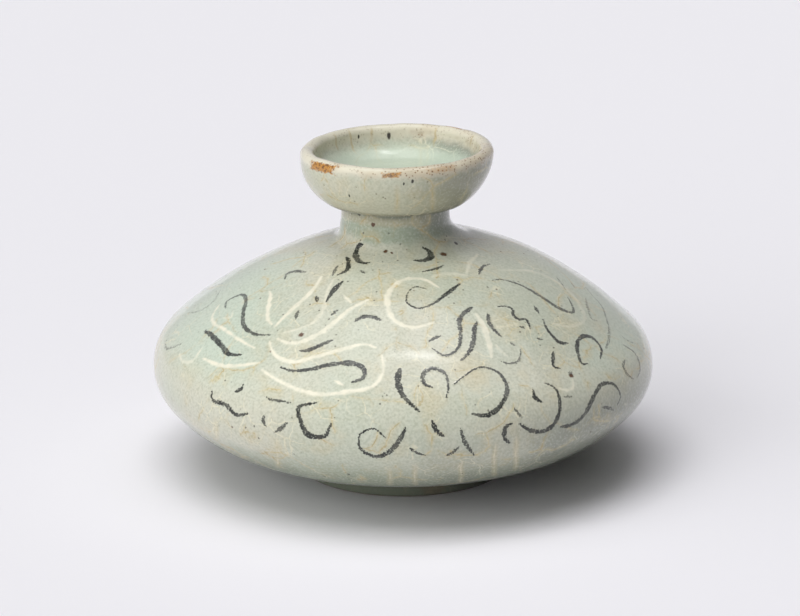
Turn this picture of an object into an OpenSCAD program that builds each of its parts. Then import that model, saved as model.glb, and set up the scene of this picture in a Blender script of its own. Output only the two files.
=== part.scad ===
// Squat celadon oil bottle with a dish mouth, built from the pieces of clay that the potter joins.
// Lengths are in millimetres. The bottle stands on z = 0 with its axis on Z, and -Y is its front.

/* [Body] */
// Radius of the body at its widest
body_r = 43; // [38:0.5:50]
// Height of the widest line above the ground
widest_z = 18.7; // [17:0.1:22]
// Radius of the rounding at the widest line
edge_arc = 8.1; // [6:0.1:9.5]
// Radius of the flat underside, where the belly starts to curve
flat_r = 22.2; // [21:0.1:26]
// Height at which the shoulder would close on the axis
shoulder_z = 42.7; // [39:0.1:47]
// How far past the axis the centre of the shoulder's arc lies
shoulder_past = 5; // [0:0.5:8]
// Thickness of the thrown wall
wall = 4; // [2.5:0.1:5]
// Radius of the throat through the body, neck and dish
throat_r = 4.5; // [3:0.1:6]

/* [Foot] */
// Height of the foot ring
foot_h = 4.7; // [3:0.1:6]
// Outer radius of the foot ring
foot_r = 18.4; // [16:0.1:20]
// Width of the foot ring
foot_w = 3.6; // [2.5:0.1:5]
// Rounding of the foot ring's lower edges
foot_round = 0.8; // [0.3:0.1:1.2]

/* [Neck and mouth] */
// Outer radius of the neck
neck_r = 9.25; // [8:0.05:11]
// Radius of the hollow curve from the shoulder up to the neck
neck_hollow = 4.5; // [3:0.1:6]
// Height of the collar above that curve
neck_h = 2.8; // [2:0.1:5]
// Outer radius of the dish's rim
rim_r = 16.45; // [14:0.05:19]
// Radius of the dish's outer curve
dish_arc = 9.6; // [8.5:0.05:11]
// Height of that curve's centre above the dish's seat
dish_rise = 8; // [6:0.1:8.3]
// Thickness of the dish's wall, rounded over at the lip
dish_wall = 2.4; // [1.6:0.1:3]
// Thickness of the dish's floor, from which the inside curves up to the lip
dish_floor = 3.5; // [2.5:0.1:4.5]

/* [Slip lines] */
// Length of one unit of the slip drawing, which sets the width of its lines
slip_unit = 1; // [0.8:0.05:1.2]
// Height of a slip line above the wall
slip_h = 0.15; // [0.1:0.05:0.3]
// Gap that keeps a line's flat underside clear of the curved wall
slip_gap = 0.04; // [0.02:0.01:0.1]
// Width of a line's tip, as a share of its middle
slip_tip = 0.35; // [0.2:0.05:0.6]
// Steps between two points of a line
slip_steps = 2; // [1:1:4]

/* [Hidden] */
$fn = 96;

// Edge arc: its centre lies one radius in from the widest line.
edge_c = [body_r - edge_arc, widest_z];

// Belly arc: it leaves the flat underside level and runs smoothly into the edge arc.
belly_rise = widest_z - foot_h;
belly_run = edge_c.x - flat_r;
belly_arc = (pow(belly_rise, 2) + pow(belly_run, 2) - pow(edge_arc, 2)) / (2 * (belly_rise - edge_arc));
belly_c = [flat_r, foot_h + belly_arc];
belly_end = atan2(edge_c.y - belly_c.y, edge_c.x - belly_c.x);

// Shoulder arc: it passes through the closing point on the axis and runs smoothly into the edge arc.
crown = shoulder_z - widest_z;
reach = edge_c.x + shoulder_past;
balance = pow(reach, 2) + pow(crown, 2) - pow(shoulder_past, 2) - pow(edge_arc, 2);
spread = pow(crown, 2) - pow(edge_arc, 2);
root = pow(crown * balance, 2) - spread * (pow(balance, 2) - pow(2 * edge_arc * shoulder_past, 2));
shoulder_drop = (crown * balance + sqrt(root)) / (2 * spread);
shoulder_c = [-shoulder_past, shoulder_z - shoulder_drop];
shoulder_arc = norm([shoulder_past, shoulder_drop]);
shoulder_start = atan2(edge_c.y - shoulder_c.y, edge_c.x - shoulder_c.x);

// Hollow curve at the foot of the neck, smooth with the shoulder and with the neck's side.
hollow_x = neck_r + neck_hollow;
hollow_z = shoulder_c.y + sqrt(pow(shoulder_arc + neck_hollow, 2) - pow(hollow_x + shoulder_past, 2));
hollow_c = [hollow_x, hollow_z];
hollow_end = atan2(hollow_c.y - shoulder_c.y, hollow_c.x - shoulder_c.x);

// Seats of the neck and the dish, and the dish's curve.
neck_z = hollow_z;
dish_z = neck_z + neck_h;
dish_c = [rim_r - dish_arc, dish_z + dish_rise];
lip_r = dish_wall / 2;

// Inside of the dish: a curve that leaves its floor level and runs upright into the lip.
bowl_arc = dish_rise - dish_floor;
bowl_c = [rim_r - dish_wall - bowl_arc, dish_c.y];
margin = 1;

// Lengths of the wall above and below its widest line. The slip lines are drawn for a wall of the drawn
// lengths: up to the neck's hollow curve, down to the flat underside, and on up the hollow curve.
edge_up = edge_arc * shoulder_start * PI / 180;
edge_down = -edge_arc * belly_end * PI / 180;
wall_up = edge_up + shoulder_arc * (hollow_end - shoulder_start) * PI / 180;
wall_down = edge_down + belly_arc * (90 + belly_end) * PI / 180;
drawn = slip_unit * [39, 27, 6];
slip_black = "#3d403c";
slip_white = "#e4dfca";

// Slip lines of the front, which the rear repeats half a turn round. Each line is [width, points], and a
// point is [degrees round from the front, units up the wall from the widest line].
left_spray_black = [
    [0.7, [[-69, 17.2], [-73, 18.4], [-70.5, 20.8], [-65, 20.5], [-60, 18.6], [-54, 16.3],
        [-47, 15.5], [-42, 16.2]]],
    [0.9, [[-66.5, 12.1], [-62, 12.2], [-55, 11.4], [-50, 10.5], [-46, 11.1]]],
    [0.7, [[-60.5, 27.4], [-64, 28.6], [-61, 30], [-55, 30.6]]],
    [0.8, [[-43.5, 37.3], [-38.5, 36.3], [-33.8, 34.1], [-36.5, 32.2]]],
    [0.6, [[-42, 34.6], [-40.4, 33.1], [-38.8, 31.8]]],
    [0.8, [[-31.2, 30.8], [-32.2, 28.3], [-31.8, 25.2]]],
    [0.8, [[-37.6, 26], [-36.4, 25.7], [-35.4, 25]]],
    [0.6, [[-39.4, 22.2], [-38.7, 21.4], [-37.8, 20.5]]],
    [0.6, [[-25.2, 24], [-25.8, 23.2], [-26.4, 22.6]]],
    [0.8, [[-17, 21.9], [-15, 22.9], [-12, 23.2], [-8.3, 22.4]]],
    [0.7, [[-29.5, 14.3], [-27, 14.8], [-24, 16.3], [-21.5, 17.4]]],
    [0.8, [[-32, 10.6], [-28.5, 10.4], [-24, 11.2], [-19, 12.6], [-14, 13.2], [-10.3, 12.4],
        [-9.7, 10.6], [-12.3, 9.6]]],
    [0.6, [[-80, 5.6], [-76, 5.5], [-73, 6.8], [-71, 8]]],
    [0.4, [[-26.8, 34.5], [-24.5, 34.2], [-22, 33.8]]],
    [0.5, [[-86, 18.2], [-80.5, 16.6], [-80, 13.9], [-86, 11.5]]],
];
left_spray_white = [
    [0.9, [[-60, 24], [-57, 23.4], [-52.5, 21.4], [-48, 19.2], [-44.5, 18.3]]],
    [1, [[-44, 30.8], [-42, 28.5], [-41.5, 26], [-42.2, 22], [-42.6, 18]]],
    [0.8, [[-36.5, 31], [-34.4, 27.6], [-30.8, 23.8], [-30.6, 20.8], [-33.6, 18.8], [-38.3, 17.2]]],
    [1, [[-38.5, 15.8], [-34.8, 15.5], [-30.5, 16.2], [-26, 18.8], [-23.7, 21.3], [-20.3, 24.8],
        [-15.5, 27]]],
    [0.7, [[-26, 27.4], [-23.5, 26.6], [-21.5, 25.9]]],
    [0.9, [[-40.5, 14.9], [-37, 13.1], [-33, 12.1], [-28.5, 12.2], [-23.3, 14], [-17.8, 15.7],
        [-12, 17.1], [-8, 16.6]]],
    [0.8, [[-74.5, 17], [-71, 14.9], [-66, 14], [-60, 14.2], [-51, 13.6], [-43.7, 13]]],
    [0.7, [[-64.5, 17.6], [-62.5, 16.6], [-65.5, 15.6]]],
    [0.9, [[-57.5, 8], [-51, 8], [-46, 8.7], [-39, 10.6]]],
    [0.8, [[-67.8, 6.5], [-64, 5.8], [-60.5, 6.8], [-61, 9.5]]],
    [0.9, [[-37, 9.4], [-31.5, 8.2], [-24.5, 7], [-19, 6.8], [-13, 7.7], [-7.3, 8.9], [-5, 11.8],
        [-6, 15]]],
    [0.7, [[-16.8, 9.6], [-15.5, 9.2], [-14.3, 8.9]]],
];
right_spray_black = [
    [0.7, [[9.3, 30], [5, 30.7], [1.2, 29.4], [0.3, 26.9], [4.5, 25.3], [10, 26.1], [18, 28.6],
        [26.5, 30.7]]],
    [0.6, [[40, 32], [43, 32.8], [48, 33.6], [54, 33.6]]],
    [0.8, [[43, 29.8], [48, 29.4], [53.5, 27.1], [56.5, 23.4], [59, 19.6], [63.5, 17.7], [69, 20.4]]],
    [0.8, [[25, 24.6], [21, 23.5], [18.3, 21.8], [17.6, 19.2], [15.6, 16.2], [11.5, 14.8], [8.2, 16.3]]],
    [0.6, [[7.4, 17.8], [9, 18.4], [11.2, 18.9]]],
    [0.9, [[24.3, 21.2], [22.7, 20], [20.8, 17.4], [18.4, 15.2], [15.5, 13.6]]],
    [0.8, [[29.5, 22.6], [28.3, 20.4], [29.9, 17.3]]],
    [0.5, [[31.6, 15.9], [32.2, 15.5], [32.8, 15.1]]],
    [0.5, [[26.6, 12.5], [28.5, 11.9], [31.5, 12.1], [33.8, 14.3]]],
    [0.6, [[34.8, 23.8], [38.2, 23.5], [39.8, 22.5], [38.5, 21.4], [39.5, 20.1], [41.5, 19.9],
        [42, 19.2], [40.8, 17.6]]],
    [0.5, [[38, 18.7], [38.8, 18.3], [39.7, 18.2]]],
    [0.4, [[40.7, 15.6], [41.6, 15.3], [42.5, 15]]],
    [0.7, [[49.4, 21.9], [49.1, 21], [48.7, 20.2]]],
    [0.8, [[48.2, 18.8], [46.6, 16.4], [47.4, 13.7], [50.3, 12.9]]],
    [0.7, [[43.3, 12.3], [41.4, 10.6], [40.7, 9.6], [42.4, 8.9]]],
    [0.8, [[51.5, 8.2], [49.6, 8.8], [52.5, 11.9], [57, 13], [60.7, 12], [60.4, 9.6], [57, 8.2]]],
    [0.6, [[62, 9.2], [65.8, 10], [71.5, 11.5], [75.5, 12.9], [81.5, 14.9], [84, 16.9], [88, 18.6]]],
    [0.7, [[69.8, 14], [68.2, 14.6], [69, 15.5], [73.5, 17], [78, 17.9]]],
    [0.6, [[73, 21.6], [75.5, 23], [78.5, 24.3]]],
    [0.6, [[79.5, 20.6], [81.2, 21.2], [82.8, 22]]],
    [0.5, [[74, 9], [75, 7.5], [78, 6]]],
    [0.7, [[66, 5.8], [63.2, 5.2], [62.9, 3.6], [65, 2.3]]],
    [0.7, [[67.2, 2.2], [70.5, 3.1], [72.4, 5.6], [70.3, 8.2]]],
];
right_spray_white = [
    [1, [[15.2, 30.3], [10.3, 32.5], [1.5, 32.9], [-5, 31.2], [-7.7, 28.3], [-6, 24.5],
        [-2.5, 22], [3, 20.9], [9.5, 21.9]]],
    [1, [[14, 33.2], [20, 33.6], [26, 33.4], [33, 32.4]]],
    [0.8, [[34, 33], [38, 34.1], [42.3, 35.3], [50, 36.2], [58, 36.8]]],
    [1.1, [[25.3, 23], [25.9, 20.2], [25.3, 16.8], [24.2, 13.6]]],
    [0.7, [[27, 16], [27.6, 14.6], [29, 13.4]]],
    [0.9, [[55, 31.4], [63, 30], [71, 28], [74.3, 24], [72.2, 19.4], [65, 15.6], [56, 15.6], [51, 17.3]]],
    [0.7, [[38.6, 5.6], [40.3, 5], [42.5, 5.1], [43.6, 6.5]]],
];
scroll_black = [
    [0.8, [[-48.3, 3.6], [-47.4, 2.1], [-43, 2], [-39.8, 0.9], [-36.4, 1.6]]],
    [0.7, [[-39.9, 6.1], [-40, 5.2], [-41.3, 4.6]]],
    [0.7, [[-32, 1.9], [-32.3, 0.9], [-31.3, 0]]],
    [0.7, [[-29.5, -0.7], [-28, 0], [-26.2, 1.3]]],
    [0.5, [[-33, 4.9], [-31, 4.6], [-27.8, 4.6], [-26, 4.6]]],
    [0.9, [[-20, 5.2], [-22.5, 4.6], [-24, 3.9], [-23, 1.9], [-21.5, 0], [-19.2, -0.4], [-17, 0.1],
        [-15.8, 2.2]]],
    [1.1, [[-0.8, 12.5], [-1.1, 9.8], [0.4, 7], [3.5, 4.6]]],
    [0.7, [[7.3, 8.8], [5.2, 9.6], [5.4, 11.6], [8, 12.4], [10.8, 11.2], [11, 8.8], [10, 6.6]]],
    [0.8, [[12.3, 9], [15, 10.3], [20, 11.9], [24.4, 10.6], [25.4, 7.6], [22.5, 4.6], [18.8, 3.2],
        [15.3, 3.7]]],
    [0.9, [[-3.9, 0.3], [-6.5, 1.7], [-9.4, 0.5], [-9.2, -2], [-6, -3.3], [-3, -2.2], [-0.8, 0],
        [0.5, 1.9]]],
    [0.5, [[1.2, -1.4], [2.5, -2.2], [4.8, -3]]],
    [0.8, [[6.3, 3], [7.2, 1.3], [8.7, 0.4]]],
    [0.6, [[9.2, -3.2], [10.8, -2.7], [12.2, -1.5]]],
    [0.7, [[12.5, 1.4], [13.4, -0.9], [15.8, -3.6]]],
    [0.5, [[25.4, 3.8], [26.1, 2.9], [26.8, 2.1]]],
    [0.8, [[26, 1.2], [29, -0.3], [32, -0.8], [34.8, -0.1], [37, 2.4], [37.6, 5.6], [35.4, 7.2]]],
    [0.8, [[36.6, -0.7], [40, -0.9], [43.5, 0], [48, 2.8], [52, 4.1], [56, 3.2], [57.4, 0.9], [56, -0.3]]],
    [0.6, [[50, 0.4], [52, 0], [54.6, -1]]],
    [0.8, [[23.8, -2], [22.5, -0.8], [22.6, 0.8], [24.2, 1.4]]],
    [0.7, [[31.6, 6.4], [31.3, 5], [32.8, 4]]],
    [0.5, [[38.9, 4], [40, 3.9], [41.2, 3.8]]],
    [0.7, [[43.4, 7.6], [44.2, 7.7], [45, 8]]],
];
collar_black = [
    [1, [[-37.5, 41.5], [-41.5, 40.9], [-40.5, 39.2], [-33, 37.2], [-27, 36.6], [-24, 37]]],
    [0.9, [[20.5, 41.3], [23.6, 40.4], [20.5, 38.8], [14, 38], [7.5, 38.2]]],
    [0.5, [[10, 34.7], [17.5, 35.2], [25, 36]]],
];

function on_arc(c, r, a) = c + r * [cos(a), sin(a)];

// Angle, in degrees, that a length takes up on an arc of radius r.
function sweep(length, r) = length / r * 180 / PI;

// Point of the wall's half section at height s of the drawing, raised by lift off the wall. Below the
// neck's hollow curve the drawing is stretched to the wall's own length, up and down from its widest line.
function wall_at(s, lift) =
    let (h = s * slip_unit, rise = (h - drawn.x) / drawn.z)
    let (up = h * wall_up / drawn.x, down = h * wall_down / drawn.y)
    rise > 0 ? on_arc(hollow_c, neck_hollow - lift, 180 + hollow_end * (1 - rise))
    : up > edge_up
        ? on_arc(shoulder_c, shoulder_arc + lift, shoulder_start + sweep(up - edge_up, shoulder_arc))
    : down < -edge_down
        ? on_arc(belly_c, belly_arc + lift, belly_end + sweep(down + edge_down, belly_arc))
    : on_arc(edge_c, edge_arc + lift, sweep(s > 0 ? up : down, edge_arc));

// Point of the wall at [degrees round from the front, height of the drawing].
function on_wall(p, lift) =
    let (q = wall_at(p.y, lift))
    [q.x * sin(p.x), -q.x * cos(p.x), q.y];

// Smooth curve through the points of a line.
function between(p, i, t) =
    let (a = p[max(i - 1, 0)], b = p[i], c = p[i + 1], d = p[min(i + 2, len(p) - 1)])
    b + (c - a) * t / 2 + (2 * a - 5 * b + 4 * c - d) * t * t / 2 + (3 * b - a - 3 * c + d) * t * t * t / 2;
function trace(p) = [
    for (i = [0:len(p) - 2], k = [0:slip_steps - 1]) between(p, i, k / slip_steps),
    p[len(p) - 1]
];
function swell(u) = slip_tip + (1 - slip_tip) * sqrt(sin(180 * u));

// Cross-section of a line at point p that runs along dir: one foot, the crest and the other foot.
function ridge(p, dir, w) =
    let (turn = 180 / PI / wall_at(p.y, 0).x, run = [dir.x / turn, dir.y * slip_unit])
    let (out = w / 2 / norm(run) * run, side = [-out.y * turn, out.x / slip_unit])
    [on_wall(p + side, slip_gap), on_wall(p, slip_gap + slip_h), on_wall(p - side, slip_gap)];

// Slice of a disc between its chord from angle a to angle b and its rim.
module segment(c, r, a, b) {
    out = r * [cos((a + b) / 2), sin((a + b) / 2)];
    p = on_arc(c, r, a);
    q = on_arc(c, r, b);
    intersection() {
        translate(c) circle(r);
        polygon([p, p + out, q + out, q]);
    }
}

// Half section of the closed body, drawn in by t from its outer face. The top is left straight from the
// axis to the end of the shoulder arc at angle a_top.
module body_half(t, a_top) {
    shoulder_end = on_arc(shoulder_c, shoulder_arc - t, a_top);
    polygon([
        [0, foot_h + t],
        [flat_r, foot_h + t],
        on_arc(belly_c, belly_arc - t, belly_end),
        on_arc(shoulder_c, shoulder_arc - t, shoulder_start),
        shoulder_end,
        [0, shoulder_end.y]
    ]);
    segment(belly_c, belly_arc - t, -90, belly_end);
    segment(edge_c, edge_arc - t, belly_end, shoulder_start);
    segment(shoulder_c, shoulder_arc - t, shoulder_start, a_top);
}

// Rise from the shoulder to the seat of the neck.
module neck_rise() {
    foot = on_arc(shoulder_c, shoulder_arc, hollow_end);
    difference() {
        polygon([[0, foot.y], foot, [hollow_c.x, neck_z], [0, neck_z]]);
        translate(hollow_c) circle(neck_hollow);
    }
}

module body() {
    cavity_top = acos((throat_r + shoulder_past) / (shoulder_arc - wall));
    color("#b9beb0")
    rotate_extrude()
    difference() {
        union() {
            body_half(0, hollow_end);
            neck_rise();
        }
        body_half(wall, cavity_top);
        translate([-margin, foot_h + wall]) square([throat_r + margin, neck_z]);
    }
}

module neck() {
    color("#aeb6a4")
    translate([0, 0, neck_z])
    rotate_extrude()
    translate([throat_r, 0]) square([neck_r - throat_r, neck_h]);
}

module dish_mouth() {
    floor_z = dish_z + dish_floor;
    color("#cdc8b4")
    rotate_extrude()
    difference() {
        union() {
            intersection() {
                union() {
                    translate(dish_c) circle(dish_arc);
                    translate([0, dish_z]) square([dish_c.x, dish_rise]);
                }
                translate([0, dish_z]) square([rim_r + margin, dish_rise]);
            }
            translate([rim_r - lip_r, dish_c.y]) circle(lip_r);
        }
        translate(bowl_c) circle(bowl_arc);
        translate([-margin, floor_z]) square([bowl_c.x + margin, dish_rise]);
        translate([bowl_c.x, bowl_c.y]) square([bowl_arc, dish_rise]);
        translate([-margin, dish_z - margin]) square([throat_r + margin, dish_rise]);
    }
}

module foot_ring() {
    foot_in = foot_r - foot_w;
    color("#8f9587")
    rotate_extrude()
    union() {
        translate([foot_in, foot_round]) square([foot_w, foot_h - foot_round]);
        translate([foot_in + foot_round, 0]) square([foot_w - 2 * foot_round, foot_h]);
        translate([foot_in + foot_round, foot_round]) circle(foot_round);
        translate([foot_r - foot_round, foot_round]) circle(foot_round);
    }
}

// One line of slip on the wall: a low ridge that swells from its tips, on the wall's own curve.
module slip_line(line) {
    path = trace(line[1]);
    last = len(path) - 1;
    rings = [
        for (i = [0:last])
            let (dir = path[min(i + 1, last)] - path[max(i - 1, 0)])
                ridge(path[i], dir, line[0] * slip_unit * swell(i / last))
    ];
    sides = [
        for (i = [0:last - 1], j = [0:2])
            let (a = 3 * i + j, b = 3 * i + (j + 1) % 3)
                each [[a, b, b + 3], [a, b + 3, a + 3]]
    ];
    tips = [[2, 1, 0], [3 * last, 3 * last + 1, 3 * last + 2]];
    polyhedron([for (ring = rings) each ring], concat(sides, tips));
}

// All lines of one motif, turned round the axis.
module motif(lines, turn) {
    rotate([0, 0, turn])
    for (line = lines)
        slip_line(line);
}

module front_left_spray_black() {
    color(slip_black) motif(left_spray_black, 0);
}

module front_left_spray_white() {
    color(slip_white) motif(left_spray_white, 0);
}

module front_right_spray_black() {
    color(slip_black) motif(right_spray_black, 0);
}

module front_right_spray_white() {
    color(slip_white) motif(right_spray_white, 0);
}

module front_scroll_black() {
    color(slip_black) motif(scroll_black, 0);
}

module front_collar_black() {
    color(slip_black) motif(collar_black, 0);
}

module rear_left_spray_black() {
    color(slip_black) motif(left_spray_black, 180);
}

module rear_left_spray_white() {
    color(slip_white) motif(left_spray_white, 180);
}

module rear_right_spray_black() {
    color(slip_black) motif(right_spray_black, 180);
}

module rear_right_spray_white() {
    color(slip_white) motif(right_spray_white, 180);
}

module rear_scroll_black() {
    color(slip_black) motif(scroll_black, 180);
}

module rear_collar_black() {
    color(slip_black) motif(collar_black, 180);
}

body();
neck();
dish_mouth();
foot_ring();
front_left_spray_black();
front_left_spray_white();
front_right_spray_black();
front_right_spray_white();
front_scroll_black();
front_collar_black();
rear_left_spray_black();
rear_left_spray_white();
rear_right_spray_black();
rear_right_spray_white();
rear_scroll_black();
rear_collar_black();
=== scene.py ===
"""Looks of a celadon oil bottle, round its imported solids. Sizes are in millimetres until a mesh is finished."""
import math
from functools import reduce

import bmesh
import bpy
from mathutils import Matrix, Vector, noise


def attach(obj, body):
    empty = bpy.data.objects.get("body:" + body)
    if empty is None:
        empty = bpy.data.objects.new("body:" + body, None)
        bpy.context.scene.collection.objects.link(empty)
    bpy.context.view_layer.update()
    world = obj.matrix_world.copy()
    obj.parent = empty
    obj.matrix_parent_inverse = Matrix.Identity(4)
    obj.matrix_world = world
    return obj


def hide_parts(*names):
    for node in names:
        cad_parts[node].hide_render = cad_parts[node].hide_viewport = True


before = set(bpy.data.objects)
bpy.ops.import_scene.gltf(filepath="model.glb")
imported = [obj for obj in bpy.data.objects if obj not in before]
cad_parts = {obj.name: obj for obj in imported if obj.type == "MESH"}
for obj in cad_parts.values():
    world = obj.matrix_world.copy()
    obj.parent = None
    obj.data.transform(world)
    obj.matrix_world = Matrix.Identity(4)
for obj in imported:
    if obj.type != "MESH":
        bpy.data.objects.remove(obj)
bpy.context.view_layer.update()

MM = 0.001
# Seed of the noise in the shape, so that every run gives the same bottle
noise.seed_set(1)

# Sizes of the thrown pieces, as in the part's source
BODY_R, WIDEST_Z, EDGE_ARC, FLAT_R = 43, 18.7, 8.1, 22.2
SHOULDER_Z, SHOULDER_PAST, WALL, THROAT_R = 42.7, 5, 4, 4.5
FOOT_H, FOOT_R, FOOT_W, FOOT_ROUND = 4.7, 18.4, 3.6, 0.8
NECK_R, NECK_HOLLOW, NECK_H = 9.25, 4.5, 2.8
RIM_R, DISH_ARC, DISH_RISE, DISH_WALL, DISH_FLOOR = 16.45, 9.6, 8, 2.4, 3.5
DRAWN_UP, DRAWN_DOWN, DRAWN_HOLLOW = 39, 27, 6

# How the thrown shape departs from a true one: the drift to the right at each height, the lean of the mouth,
# and the wobble of the wall
DRIFT = ((18.7, 0), (27, -0.15), (31, 0.1), (36, 0.45), (39.8, 0.2), (43.8, -1.3), (47.6, -1.35), (56.8, -1.0))
TILT, TILT_FROM, TILT_TO = 0.024, 45, 56
WOBBLE, WOBBLE_SIZE = 0.1, 14
LIP_WOBBLE, LIP_WOBBLE_SIZE, LIP_WOBBLE_FROM, LIP_WOBBLE_TO = 0.16, 3.5, 52, 56

# Inside of the dish as it was thrown: angle down its side to the straight part, radius above it, and its length
BOWL_TURN, BOWL_TOP, BOWL_STRAIGHT = 52.1, 3.34, 1.3

# Fineness of the thrown meshes: steps round the axis, length of a step along an arc, degrees of a step round a
# lip, and the angle from which an edge is sharp
TURNS, ARC_STEP, LIP_STEP, CREASE = 256, 0.7, 15, math.radians(40)
# Fineness of a line of slip: steps between two of its points, length of a row of its mesh, fewest rows, and
# rows across. Then the share of the mesh's width that makes its crest, and the share past which it is its foot.
CURVE_STEPS, LINE_STEP, LINE_ROWS, LENS_SIDES, LENS_TOP, LENS_FOOT = 12, 0.3, 6, 8, 0.75, 0.99
# Distances under which points of a mesh are one
WELD, SLIP_WELD = 0.001, 0.0005

# Brushed slip: crest over the wall, dip of its sides and of its foot under it, and bare margin round the pigment
SLIP_LIFT, SLIP_DIP, SLIP_SINK, SLIP_MARGIN = 0.04, 0.012, 0.05, 0.3
# Brushes: width at the tips and at the fullest, as shares of a line's width. Then how a stroke swells between
# them, and how much the hand shakes.
THIN_BRUSH, FULL_BRUSH, WHITE_BRUSH = (0.36, 1.06), (0.5, 1.25), (0.7, 1.2)
BRUSH_SWELL, BRUSH_SHAKE = 0.8, 0.4

# Slip lines of the front, as in the part's source, which the rear repeats half a turn round. Each is [width,
# points, strength, heaviest place along it], the last two only where they aren't 1 and 0.5. A point is
# [degrees round from the front, millimetres up the wall from the widest line].
LEFT_SPRAY_BLACK = [
    [0.7, [[-69, 17.2], [-73, 18.4], [-70.5, 20.8], [-65, 20.5], [-60, 18.6], [-54, 16.3], [-47, 15.5],
        [-42, 16.2]], 0.9, 0.55],
    [0.9, [[-66.5, 12.1], [-62, 12.2], [-55, 11.4], [-50, 10.5], [-46, 11.1]], 1, 0.45],
    [0.7, [[-60.5, 27.4], [-64, 28.6], [-61, 30], [-55, 30.6]], 0.85, 0.6],
    [0.8, [[-43.5, 37.3], [-38.5, 36.3], [-33.8, 34.1], [-36.5, 32.2]], 1, 0.4],
    [0.6, [[-42, 34.6], [-40.4, 33.1], [-38.8, 31.8]], 0.8],
    [0.8, [[-31.2, 30.8], [-32.2, 28.3], [-31.8, 25.2]], 1, 0.4],
    [0.8, [[-37.6, 26], [-36.4, 25.7], [-35.4, 25]], 0.9],
    [0.6, [[-39.4, 22.2], [-38.7, 21.4], [-37.8, 20.5]], 0.85],
    [0.6, [[-25.2, 24], [-25.8, 23.2], [-26.4, 22.6]], 0.85],
    [0.8, [[-17, 21.9], [-15, 22.9], [-12, 23.2], [-8.3, 22.4]], 1, 0.45],
    [0.7, [[-29.5, 14.3], [-27, 14.8], [-24, 16.3], [-21.5, 17.4]], 1, 0.45],
    [0.8, [[-32, 10.6], [-28.5, 10.4], [-24, 11.2], [-19, 12.6], [-14, 13.2], [-10.3, 12.4], [-9.7, 10.6],
        [-12.3, 9.6]], 1, 0.6],
    [0.6, [[-80, 5.6], [-76, 5.5], [-73, 6.8], [-71, 8]], 0.45],
    [0.4, [[-26.8, 34.5], [-24.5, 34.2], [-22, 33.8]], 0.85],
    [0.5, [[-86, 18.2], [-80.5, 16.6], [-80, 13.9], [-86, 11.5]], 0.3],
]
LEFT_SPRAY_WHITE = [
    [0.9, [[-60, 24], [-57, 23.4], [-52.5, 21.4], [-48, 19.2], [-44.5, 18.3]]],
    [1, [[-44, 30.8], [-42, 28.5], [-41.5, 26], [-42.2, 22], [-42.6, 18]]],
    [0.8, [[-36.5, 31], [-34.4, 27.6], [-30.8, 23.8], [-30.6, 20.8], [-33.6, 18.8], [-38.3, 17.2]], 0.6],
    [1, [[-38.5, 15.8], [-34.8, 15.5], [-30.5, 16.2], [-26, 18.8], [-23.7, 21.3], [-20.3, 24.8],
        [-15.5, 27]]],
    [0.7, [[-26, 27.4], [-23.5, 26.6], [-21.5, 25.9]]],
    [0.9, [[-40.5, 14.9], [-37, 13.1], [-33, 12.1], [-28.5, 12.2], [-23.3, 14], [-17.8, 15.7],
        [-12, 17.1], [-8, 16.6]]],
    [0.8, [[-74.5, 17], [-71, 14.9], [-66, 14], [-60, 14.2], [-51, 13.6], [-43.7, 13]]],
    [0.7, [[-64.5, 17.6], [-62.5, 16.6], [-65.5, 15.6]], 0.6],
    [0.9, [[-57.5, 8], [-51, 8], [-46, 8.7], [-39, 10.6]]],
    [0.8, [[-67.8, 6.5], [-64, 5.8], [-60.5, 6.8], [-61, 9.5]], 0.6],
    [0.9, [[-37, 9.4], [-31.5, 8.2], [-24.5, 7], [-19, 6.8], [-13, 7.7], [-7.3, 8.9], [-5, 11.8],
        [-6, 15]]],
    [0.7, [[-16.8, 9.6], [-15.5, 9.2], [-14.3, 8.9]]],
]
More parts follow.
